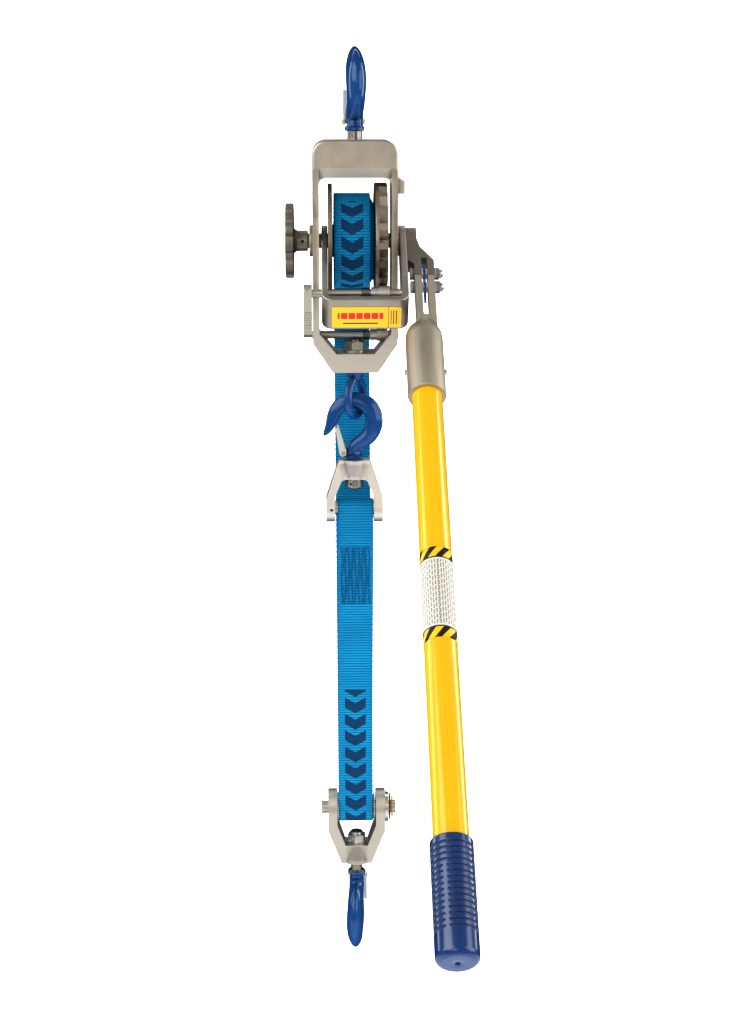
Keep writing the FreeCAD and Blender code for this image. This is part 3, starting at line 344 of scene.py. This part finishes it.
def yoke_plate_print():
    """Yellow plate: a plain red bar, thin black rules and a divided panel at the right."""
    material, n, shader = new_material("yoke_plate")
    u, v = n.uv()
    base = rgb(222, 176, 0)
    red = n.math("MULTIPLY", n.between(u, 0.08, 0.74), n.between(v, 0.42, 0.72))
    notch = n.math("GREATER_THAN", n.math("FRACT", n.math("MULTIPLY", u, 9.0)), 0.16)
    base = n.mix(n.math("MULTIPLY", red, notch), base, rgb(196, 12, 6))
    rule = n.math("MULTIPLY", n.between(u, 0.16, 0.67), n.between(v, 0.18, 0.24))
    divider = n.between(u, 0.815, 0.822)
    panel_rules = n.math("LESS_THAN", n.math("FRACT", n.math("MULTIPLY", u, 26.0)), 0.36)
    panel = n.math("MULTIPLY", n.between(u, 0.85, 0.965), n.between(v, 0.16, 0.84))
    dark = n.math("MAXIMUM", n.math("MAXIMUM", rule, divider), n.math("MULTIPLY", panel, panel_rules))
    base = n.mix(dark, base, rgb(30, 28, 20))
    n.feed(shader, "Base Color", base)
    n.feed(shader, "Roughness", n.math("ADD", n.math("MULTIPLY", n.noise(60.0), 0.2), 0.28))
    n.feed(shader, "Normal", n.bump(n.noise(500.0), 0.08, 0.0002))
    return material


def sleeve_print():
    """Pale sleeve: plain grey rules along the tube, and a slanted black and yellow band at each end."""
    material, n, shader = new_material("tube_sleeve")
    u, v = n.uv()
    length = SLEEVE_HIGH - SLEEVE_LOW
    line_pitch = 2.9
    around = n.math("MULTIPLY", u, 111.0)
    along = n.math("MULTIPLY", v, length)
    lines = n.math("DIVIDE", around, line_pitch)
    line = n.math("LESS_THAN", n.math("FRACT", lines), 0.42)
    ragged = n.math("SINE", n.math("MULTIPLY", n.math("FLOOR", lines), 7.7))
    shifted = n.math("ADD", along, n.math("MULTIPLY", ragged, 9.0))
    dash = n.math("GREATER_THAN", n.math("FRACT", n.math("DIVIDE", shifted, 7.3)), 0.24)
    body = n.between(along, 17.0, length - 17.0)
    ink = n.math("MULTIPLY", n.math("MULTIPLY", line, dash), body)
    base = n.mix(n.math("MULTIPLY", ink, 0.62), rgb(226, 222, 212), rgb(60, 58, 56))
    middle = n.math("ABSOLUTE", n.math("SUBTRACT", along, length / 2))
    band = n.math("GREATER_THAN", middle, length / 2 - 13.0)
    slanted = n.math("ADD", around, n.math("MULTIPLY", along, 0.8))
    stripe = n.math("LESS_THAN", n.math("FRACT", n.math("DIVIDE", slanted, 15.9)), 0.52)
    end_colour = n.mix(stripe, rgb(18, 17, 15), rgb(250, 205, 10))
    base = n.mix(band, base, end_colour)
    border = n.between(middle, length / 2 - 14.6, length / 2 - 13.0)
    base = n.mix(border, base, rgb(18, 17, 15))
    n.feed(shader, "Base Color", base)
    n.feed(shader, "Roughness", 0.42)
    n.feed(shader, "Normal", n.bump(n.noise(300.0), 0.08, 0.0002))
    return material


# ---------------------------------------------------------------- mesh helpers
def make_object(name, vertices, faces, material, uvs=None, smooth=True):
    """A mesh from millimetre vertices. uvs: one (u, v) per vertex."""
    mesh = bpy.data.meshes.new(name)
    mesh.from_pydata([Vector(v) * MM for v in vertices], [], faces)
    if uvs:
        layer = mesh.uv_layers.new(name="UVMap")
        for loop in mesh.loops:
            layer.data[loop.index].uv = uvs[loop.vertex_index]
    if smooth:
        mesh.shade_smooth()
    mesh.materials.append(material)
    piece = bpy.data.objects.new(name, mesh)
    bpy.context.scene.collection.objects.link(piece)
    return piece


def in_handle(x, y, along):
    """A point of the handle's own frame, swung to the rest pose."""
    s, c = math.sin(HANDLE_TILT), math.cos(HANDLE_TILT)
    return (x, y * c - along * s, DRUM_Z - y * s - along * c)


def resample(points, step):
    """Points evenly spaced along a polyline of (y, z) points."""
    out, left = [points[0]], step
    for a, b in zip(points, points[1:]):
        length = math.dist(a, b)
        done = left
        while done <= length:
            t = done / length
            out.append((a[0] + (b[0] - a[0]) * t, a[1] + (b[1] - a[1]) * t))
            done += step
        left = done - length
    return out


def arc(centre, radius, start, end, count=40):
    """(y, z) points on an arc; angles in degrees from +Y towards +Z."""
    points = []
    for n in range(count + 1):
        a = math.radians(start + (end - start) * n / count)
        points.append((centre[0] + radius * math.cos(a), centre[1] + radius * math.sin(a)))
    return points


def ribbon(name, path, middle_x, material, closed=False):
    """A woven strap along a (y, z) path: rounded edges and raised ribs across it.
    middle_x gives the strap's middle at a distance along the path."""
    half, thick = STRAP_WIDTH / 2, STRAP_THICKNESS / 2
    face = (-half + 1.4, -half * 0.5, 0.0, half * 0.5, half - 1.4)
    edge = ((half - 0.3, 0.72), (half, 0.0), (half - 0.3, -0.72))
    section = [(x, 1.0) for x in face] + list(edge)
    section += [(-x, -level) for x, level in section]
    count = len(section)
    vertices, uvs, faces = [], [], []
    last = len(path) - 1
    for i, (y, z) in enumerate(path):
        before = path[(i - 1) % len(path)] if closed else path[max(i - 1, 0)]
        after = path[(i + 1) % len(path)] if closed else path[min(i + 1, last)]
        dy, dz = after[0] - before[0], after[1] - before[1]
        size = math.hypot(dy, dz)
        ny, nz = -dz / size, dy / size
        along = i * STRAP_STEP
        rib = RIB_HEIGHT * math.sin(along * 2 * math.pi / RIB_PITCH)
        for x, level in section:
            lift = level * (thick - RIB_HEIGHT + rib)
            wobble = 0.18 * math.sin(along * 0.9 + (2.0 if x > 0 else 0.0)) if abs(x) > half - 1.5 else 0.0
            vertices.append((middle_x(along) + x + wobble, y + ny * lift, z + nz * lift))
            uvs.append((0.5 + x / STRAP_WIDTH, along))
    rings = len(path) if closed else last
    for i in range(rings):
        a, b = i * count, ((i + 1) % len(path)) * count
        for k in range(count):
            m = (k + 1) % count
            faces.append((a + k, a + m, b + m, b + k))
    if not closed:
        faces.append(tuple(reversed(range(count))))
        faces.append(tuple(range(last * count, last * count + count)))
    return make_object(name, vertices, faces, material, uvs)


def lathe(name, profile, place, material, steps=96, shape=None):
    """A turned piece about the handle tube. profile: (along, radius) points. shape(along, angle) may
    take something off the radius. UV: u round it, v along it, both 0..1."""
    vertices, uvs, faces = [], [], []
    low, high = profile[0][0], profile[-1][0]
    for along, radius in profile:
        for k in range(steps + 1):
            a = 2 * math.pi * k / steps
            r = radius - (shape(along, a) if shape else 0.0)
            vertices.append(place(r * math.sin(a), -r * math.cos(a), along))
            uvs.append((k / steps, (along - low) / (high - low) if high != low else 0.0))
    for i in range(len(profile) - 1):
        for k in range(steps):
            a, b = i * (steps + 1) + k, (i + 1) * (steps + 1) + k
            faces.append((a, a + 1, b + 1, b))
    piece = make_object(name, vertices, faces, material, uvs)
    weld(piece)
    return piece


def weld(piece, distance=0.00001):
    """Join the vertices that meet, and turn all faces outwards."""
    mesh = bmesh.new()
    mesh.from_mesh(piece.data)
    bmesh.ops.remove_doubles(mesh, verts=mesh.verts, dist=distance)
    bmesh.ops.recalc_face_normals(mesh, faces=mesh.faces)
    mesh.to_mesh(piece.data)
    mesh.free()


def threads(name, runs, material, radius):
    """Sewing threads: one curve with a spline for each run of (x, y, z) points."""
    curve = bpy.data.curves.new(name, "CURVE")
    curve.dimensions = "3D"
    curve.bevel_depth = radius * MM
    curve.bevel_resolution = 2
    for run in runs:
        spline = curve.splines.new("POLY")
        spline.points.add(len(run) - 1)
        for point, place in zip(spline.points, run):
            point.co = (place[0] * MM, place[1] * MM, place[2] * MM, 1.0)
    curve.materials.append(material)
    piece = bpy.data.objects.new(name, curve)
    bpy.context.scene.collection.objects.link(piece)
    return piece


# ---------------------------------------------------------------- strap
def front_middle(along):
    """The front strap's middle, which wanders a little from side to side."""
    return STRAP_X + 0.5 * math.sin(along / 95.0)


def build_front_strap(material):
    """From the sewn tail, over the pin, down the front and under the pulley to its lowest point."""
    tail_y = FRONT_Y + STRAP_THICKNESS + 0.1
    path = [(tail_y, LAP_END_Z + 1.5), (tail_y, LAP_START_Z)]
    path += [(tail_y + 6, LAP_START_Z + 13), (PIN_LOOP_RADIUS, PIN_Z)]
    path += arc((0, PIN_Z), PIN_LOOP_RADIUS, 0, 180)[1:]
    path += [(FRONT_Y + 1.2, LAP_START_Z + 12), (FRONT_Y, LAP_START_Z), (FRONT_Y, PULLEY_Z)]
    path += arc((0, PULLEY_Z), PULLEY_WRAP_RADIUS, 180, 270)[1:]
    piece = ribbon("strap_front", resample(path, STRAP_STEP), front_middle, material)
    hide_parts("strap_sewn_eye", "strap_front_run", "strap_bend")
    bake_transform(piece)


def build_back_strap(material):
    """From the pulley's lowest point up the back to where the strap meets the drum."""
    path = arc((0, PULLEY_Z), PULLEY_WRAP_RADIUS, 270, 360) + [(ROLL_RADIUS + 0.5, DRUM_Z)]
    even = resample(path, STRAP_STEP)
    total = len(even) * STRAP_STEP

    def middle(along):
        return STRAP_X + (ROLL_X - STRAP_X) * max(0.0, along / total - 0.04)

    piece = ribbon("strap_back", even, middle, material)
    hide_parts("strap_back_run")
    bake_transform(piece)


def build_roll(material):
    """The wound strap: one closed outer turn, and below it a spiral whose layers step to the right."""
    first_turn = 2 * math.pi * ROLL_RADIUS
    steps = int(first_turn / RIB_PITCH) * STEPS_PER_RIB
    outer = arc((0, DRUM_Z), ROLL_RADIUS, 0, 360, steps)[:-1]
    outer_turn = ribbon("strap_roll_outer", outer, lambda along: ROLL_X, material, closed=True)
    core_radius = 22.0
    layer = STRAP_THICKNESS + 0.12
    path, angle, radius = [], 0.0, ROLL_RADIUS - layer
    while radius > core_radius:
        path.append((radius * math.cos(angle), DRUM_Z + radius * math.sin(angle)))
        turn = STRAP_STEP / radius
        angle += turn
        radius -= layer * turn / (2 * math.pi)

    def middle(along):
        turns = along / first_turn
        drift = min(4.8, max(0.0, turns - 0.6) * 2.1)
        return ROLL_X + drift + 0.35 * math.sin(along / 61.0)

    spiral = ribbon("strap_roll_inner", path, middle, material)
    for piece in (outer_turn, spiral):
        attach(piece, "drum")
    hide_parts("wound_strap")


def build_stitching(material):
    """Columns of tight zigzag stitches down the lap, and a bar at each end."""
    face = FRONT_Y - STRAP_THICKNESS / 2 - 0.12
    top, bottom = LAP_START_Z + 2.0, LAP_END_Z + 5.0
    runs = []
    columns, rows, bar_stitches = 9, 76, 40
    left = STRAP_X - STRAP_WIDTH / 2 + 3.0
    width = (STRAP_WIDTH - 6.0) / columns
    for column in range(columns):
        x0 = left + column * width
        run = []
        for k in range(rows + 1):
            z = top + (bottom - top) * k / rows
            drift = 0.12 * math.sin(k / 9.0 + column * 2.3)
            x = x0 + width * (0.5 + drift + (0.3 if k % 2 else -0.3))
            run.append((x, face - 0.15 - 0.1 * (k % 3), z))
        runs.append(run)
    for z in (top, bottom):
        run = []
        for k in range(bar_stitches + 1):
            run.append((left + columns * width * k / bar_stitches, face + (0.22 if k % 2 else 0.0), z))
        runs.append(run)
    piece = threads("strap_stitching", runs, material, 0.42)
    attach(piece, "frame")


# ---------------------------------------------------------------- handle pieces
def on_tube(x, y, along):
    """A point of the handle's frame, with x measured from the tube's axis."""
    return in_handle(HANDLE_X + x, y, along)


GROOVES = 15
GROOVE_PITCH = 6.25
FIRST_GROOVE = 857.2
GROOVE_REACH = 1.5
GROOVE_DEPTH = 1.3
UNBROKEN_GROOVES = 4
SEAM_ANGLE = -0.42


def groove_depth(along, angle):
    """How far the grip's surface is sunk: rounded grooves, all but the first few broken by a seam."""
    depth = 0.0
    for k in range(GROOVES):
        offset = abs(along - FIRST_GROOVE - k * GROOVE_PITCH)
        if offset < GROOVE_REACH:
            depth = GROOVE_DEPTH * (0.5 + 0.5 * math.cos(math.pi * offset / GROOVE_REACH))
            if k >= UNBROKEN_GROOVES:
                turn = abs((angle - SEAM_ANGLE + math.pi) % (2 * math.pi) - math.pi)
                depth *= min(1.0, max(0.0, (turn - 0.10) / 0.06))
    return depth


def build_grip(material):
    """The moulded grip: a grooved sleeve with a rounded, closed end and a small hole in it."""
    start, end, radius, rounding = 848.0, 974.0, 21.0, 7.0
    profile = [(start, 17.6), (start, radius - 1.2), (start + 0.5, radius - 0.3), (start + 1.4, radius)]
    along = start + 2.0
    while along < end - rounding:
        profile.append((along, radius))
        along += 0.5
    for k in range(1, 13):
        a = math.radians(90 * k / 12)
        profile.append((end - rounding + rounding * math.sin(a), radius - rounding + rounding * math.cos(a)))
    profile += [(end, 9.0), (end, 3.4), (end - 0.4, 2.7), (end - 5.0, 2.5), (end - 5.0, 0.05)]
    piece = lathe("grip_moulding", profile, on_tube, material, steps=192, shape=groove_depth)
    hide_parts("grip")
    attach(piece, "handle")


def build_sleeve(material):
    """The printed sleeve round the middle of the tube."""
    low, high, radius = SLEEVE_LOW, SLEEVE_HIGH, SLEEVE_RADIUS
    tube_radius = 17.47
    rings = 24
    profile = [(low, tube_radius), (low + 0.01, radius)]
    profile += [(low + (high - low) * k / rings, radius) for k in range(1, rings)]
    profile += [(high - 0.01, radius), (high, tube_radius)]
    piece = lathe("tube_sleeve_print", profile, on_tube, material)
    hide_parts("tube_label")
    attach(piece, "handle")


def build_yoke_plate(material):
    """A thin plate with rounded corners on the outer face of the yoke's bar."""
    left, right, near, far = -29.2, 53.0, -12.9, 20.3
    inner, outer, corner = 130.84, 131.25, 1.6
    outline = []
    for cx, cy, start in ((right - corner, far - corner, 0), (left + corner, far - corner, 90),
                          (left + corner, near + corner, 180), (right - corner, near + corner, 270)):
        for k in range(5):
            a = math.radians(start + 22.5 * k)
            outline.append((cx + corner * math.cos(a), cy + corner * math.sin(a)))
    count = len(outline)
    vertices = [in_handle(x, y, outer) for x, y in outline] + [in_handle(x, y, inner) for x, y in outline]
    uvs = [((x - left) / (right - left), (far - y) / (far - near)) for x, y in outline] * 2
    faces = [tuple(range(count)), tuple(reversed(range(count, 2 * count)))]
    faces += [(k, k + count, (k + 1) % count + count, (k + 1) % count) for k in range(count)]
    piece = make_object("yoke_plate_print", vertices, faces, material, uvs, smooth=False)
    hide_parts("yoke_label")
    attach(piece, "handle")


# ---------------------------------------------------------------- finishing the CAD pieces
def dress(frame, materials):
    """Give every CAD node its material, by the record's slot."""
    slots = {part["node"]: part["material_slot"] for part in frame["record"]["subparts"]}
    special = {
        "upper_hook": paint("upper_hook_paint", HOOK_BLUE, bare=(-110.0, -58.4)),
        "load_hook": paint("load_hook_paint", HOOK_BLUE, bare=(-1012.4, -950.0)),
        "strap_hook": paint("strap_hook_paint", HOOK_BLUE, bare=(-520.0, -463.5)),
        "anchor_eye": paint("anchor_eye_paint", HOOK_BLUE, bare=(-351.1, -290.0)),
        "strap_yoke": metal("strap_yoke_metal", rgb(213, 208, 202), 0.42, 160.0, 0.4),
        "block_yoke": metal("block_yoke_metal", rgb(186, 180, 171), 0.42, 160.0, 0.4),
        "drum_shaft": metal("drum_shaft_metal", rgb(116, 108, 98), 0.30, 300.0, 0.2, brushed=TURNED),
        "handle_socket": metal("socket_metal", rgb(180, 172, 156), 0.46, 380.0, 1.0),
        "frame": frame_metal(),
        "handwheel_pin": metal("handwheel_pin_metal", rgb(62, 58, 54), 0.4, 300.0, 0.2),
        "handwheel": metal("handwheel_metal", rgb(150, 143, 131), 0.42, 420.0, 0.6),
    }
    for name, piece in frame["nodes"].items():
        material = special.get(name) or materials[slots[name]]
        piece.data.materials.clear()
        piece.data.materials.append(material)


def build_materials():
    return {
        "satin_aluminium": metal("satin_aluminium", rgb(196, 190, 180), 0.40, 160.0, 0.35, brushed=MILLED),
        "cast_aluminium": metal("cast_aluminium", rgb(134, 128, 118), 0.46, 420.0, 0.9),
        "plated_yoke": metal("plated_yoke", rgb(196, 189, 178), 0.36, 420.0, 0.25),
        "ratchet_steel": metal("ratchet_steel", rgb(158, 146, 132), 0.34, 500.0, 0.45),
        "bright_steel": metal("bright_steel", rgb(180, 173, 163), 0.28, 300.0, 0.2, brushed=TURNED),
        "zinc_plated": metal("zinc_plated", rgb(196, 195, 190), 0.24, 600.0, 0.2),
        "latch_plate": metal("latch_plate", rgb(222, 222, 216), 0.34, 300.0, 0.1, shade_depth=0.35),
        "spring_steel": metal("spring_steel", rgb(120, 120, 122), 0.25, 600.0, 0.2),
        "pawl_steel": metal("pawl_steel", rgb(196, 190, 180), 0.30, 520.0, 0.4),
        "thumb_casting": metal("thumb_casting", rgb(186, 180, 168), 0.42, 640.0, 0.6),
        "brass_washer": metal("brass_washer", rgb(196, 154, 84), 0.30, 400.0, 0.2),
        "clip_steel": metal("clip_steel", rgb(96, 92, 88), 0.35, 500.0, 0.3),
        "pulley_casting": metal("pulley_casting", rgb(186, 180, 170), 0.38, 500.0, 0.4),
        "blue_hook": paint("blue_hook", HOOK_BLUE),
        "blue_link": paint("blue_link", rgb(22, 74, 150), 0.3),
        "yellow_tube": tube_plastic(),
        "blue_grip": grip_rubber(),
        "tube_sleeve": sleeve_print(),
        "yoke_plate": yoke_plate_print(),
        "blue_webbing": webbing("blue_webbing", ()),
    }


# ---------------------------------------------------------------- room, light and camera
def build_room():
    """A pale floor that sweeps up into a backdrop behind the winch."""
    floor_z, radius, back = -1.50, 1.2, 2.6
    profile = [(-6.0, floor_z), (back, floor_z)]
    for k in range(1, 17):
        a = math.radians(90 * k / 16)
        profile.append((back + radius * math.sin(a), floor_z + radius * (1 - math.cos(a))))
    profile.append((back + radius, 4.0))
    vertices = [(x, y, z) for y, z in profile for x in (-6.0, 6.0)]
    faces = [(2 * k, 2 * k + 1, 2 * k + 3, 2 * k + 2) for k in range(len(profile) - 1)]
    mesh = bpy.data.meshes.new("room")
    mesh.from_pydata(vertices, [], faces)
    mesh.shade_smooth()
    material, n, shader = new_material("room")
    n.feed(shader, "Base Color", (0.92, 0.92, 0.92, 1.0))
    n.feed(shader, "Roughness", 0.9)
    n.feed(shader, "Emission Color", (1.0, 1.0, 1.0, 1.0))
    n.feed(shader, "Emission Strength", 0.8)
    mesh.materials.append(material)
    room = bpy.data.objects.new("room", mesh)
    bpy.context.scene.collection.objects.link(room)
    room.visible_glossy = False


def area_light(name, place, target, size, power):
    """A rectangular lamp that faces target. Places and sizes in metres, power in watts."""
    light = bpy.data.lights.new(name, "AREA")
    light.shape = "RECTANGLE"
    light.size, light.size_y = size
    light.energy = power
    lamp = bpy.data.objects.new(name, light)
    lamp.location = place
    lamp.rotation_euler = (Vector(target) - Vector(place)).to_track_quat("-Z", "Y").to_euler()
    lamp.visible_camera = False
    bpy.context.scene.collection.objects.link(lamp)


def build_light():
    """A world pale in front of the winch, dark behind it and white to the camera; seven soft lamps."""
    world = bpy.data.worlds.new("studio")
    bpy.context.scene.world = world
    world.use_nodes = True
    tree = world.node_tree
    background = tree.nodes["Background"]
    coordinates = tree.nodes.new("ShaderNodeTexCoord")
    split = tree.nodes.new("ShaderNodeSeparateXYZ")
    ramp = tree.nodes.new("ShaderNodeValToRGB")
    tree.links.new(coordinates.outputs["Generated"], split.inputs[0])
    rays = tree.nodes.new("ShaderNodeLightPath")
    seen = tree.nodes.new("ShaderNodeMixRGB")
    seen.inputs["Color2"].default_value = (2.2, 2.2, 2.2, 1.0)
    tree.links.new(split.outputs[1], ramp.inputs[0])
    tree.links.new(rays.outputs["Is Camera Ray"], seen.inputs["Fac"])
    tree.links.new(ramp.outputs[0], seen.inputs["Color1"])
    tree.links.new(seen.outputs[0], background.inputs["Color"])
    ramp.color_ramp.elements[0].position = 0.0
    ramp.color_ramp.elements[0].color = (0.9, 0.9, 0.9, 1.0)
    ramp.color_ramp.elements[1].position = 0.5
    ramp.color_ramp.elements[1].color = (0.12, 0.12, 0.12, 1.0)
    background.inputs["Strength"].default_value = 0.45
    middle = (0.0, 0.0, -0.5)
    area_light("key", (-1.5, -1.1, 0.8), middle, (2.2, 1.7), 34.0)
    area_light("fill", (1.8, -0.9, 0.1), middle, (1.6, 1.6), 18.0)
    area_light("front", (-0.6, -2.9, 0.4), middle, (1.2, 1.2), 7.0)
    area_light("floor_bounce", (0.0, -0.8, -1.3), (0.0, -0.8, 0.0), (2.4, 1.4), 8.0)
    area_light("right_rim", (1.8, 0.6, 0.1), middle, (0.5, 1.8), 12.0)
    area_light("left_rim", (-1.8, 0.6, 0.1), middle, (0.5, 1.8), 8.0)
    area_light("backdrop", (0.0, 1.4, 1.9), (0.0, 3.4, -0.6), (4.0, 0.8), 60.0)


def build_camera():
    """In front of the upper hook's seat, looking slightly down, and a little from the left."""
    down, left = math.radians(12.0), math.radians(1.6)
    place = Vector((-42.5, -2407.3, -17.5)) * MM
    ahead = Vector((math.sin(left) * math.cos(down), math.cos(left) * math.cos(down), -math.sin(down)))
    right = Vector((math.cos(left), -math.sin(left), 0.0))
    up = right.cross(ahead)
    camera = bpy.data.cameras.new("camera")
    camera.lens = 68.65
    camera.sensor_width = 36.0
    viewer = bpy.data.objects.new("camera", camera)
    rotation = Matrix((right, up, -ahead)).transposed().to_4x4()
    viewer.matrix_world = Matrix.Translation(place) @ rotation
    bpy.context.scene.collection.objects.link(viewer)
    bpy.context.scene.camera = viewer


def main():
    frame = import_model()
    materials = build_materials()
    dress(frame, materials)
    front_marks = webbing("webbing_front", ((400.0, 606.0),))
    roll_marks = webbing("webbing_roll", ((120.0, 330.0),))
    build_front_strap(front_marks)
    build_back_strap(materials["blue_webbing"])
    build_roll(roll_marks)
    build_stitching(thread())
    build_grip(materials["blue_grip"])
    build_sleeve(materials["tube_sleeve"])
    build_yoke_plate(materials["yoke_plate"])
    build_room()
    build_light()
    build_camera()
    view = bpy.context.scene.view_settings
    view.view_transform = "Standard"
    view.exposure = 0.15
    view.gamma = 0.80


main()
